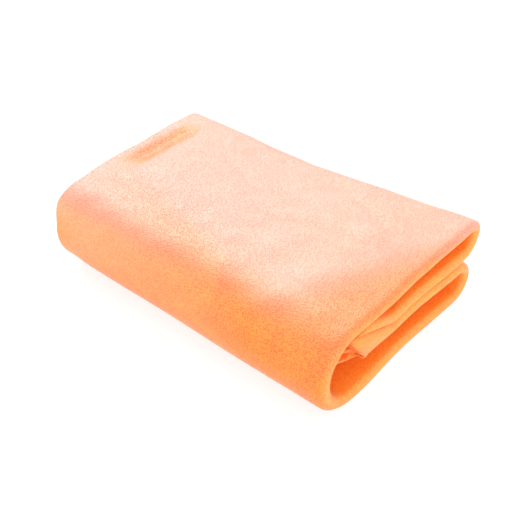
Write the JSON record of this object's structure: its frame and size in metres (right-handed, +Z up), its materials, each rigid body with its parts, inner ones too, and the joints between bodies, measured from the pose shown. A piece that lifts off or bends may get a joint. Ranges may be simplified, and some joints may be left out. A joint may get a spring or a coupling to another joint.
{
  "type": "folded quick dry towel",
  "caption": "Plush quick dry towel folded to a flat package: both sides folded to the middle, then closed like a book, with hemmed edges, sewing thread and a blank care label.",
  "frame": {"origin": "on the surface the towel lies on, under the middle of its box", "axes": "+X along the folds, towards the end whose plies are all turned; +Y from the spine towards the side folds; +Z up"},
  "size_m": [0.37, 0.252, 0.092],
  "materials": {
    "cloth": "short soft pile, matte with a light sheen",
    "hem": "flat folded edge of the same cloth, matte",
    "thread": "twisted polyester sewing thread",
    "label": "smooth white satin tape, blank"
  },
  "bodies": {
    "lower_half": {"lower_panel": "cloth", "lower_side_fold": "cloth", "lower_flap": "cloth", "lower_flap_end": "cloth", "lower_spine": "cloth", "lower_hem": "hem", "lower_hem_stitches": "thread", "lower_end_hem": "hem", "lower_end_stitches": "thread", "care_label": "label"},
    "upper_half": {"upper_panel": "cloth", "upper_side_fold": "cloth", "upper_flap": "cloth", "upper_flap_end": "cloth", "upper_spine": "cloth", "upper_hem": "hem", "upper_hem_stitches": "thread", "upper_end_hem": "hem", "upper_end_stitches": "thread"}
  },
  "joints": [
    {"name": "book_fold", "type": "hinge", "parent": "lower_half", "child": "upper_half", "pos_m": [0, -0.126, 0.046], "axis": [1, 0, 0], "range_deg": [0, 180]}
  ]
}
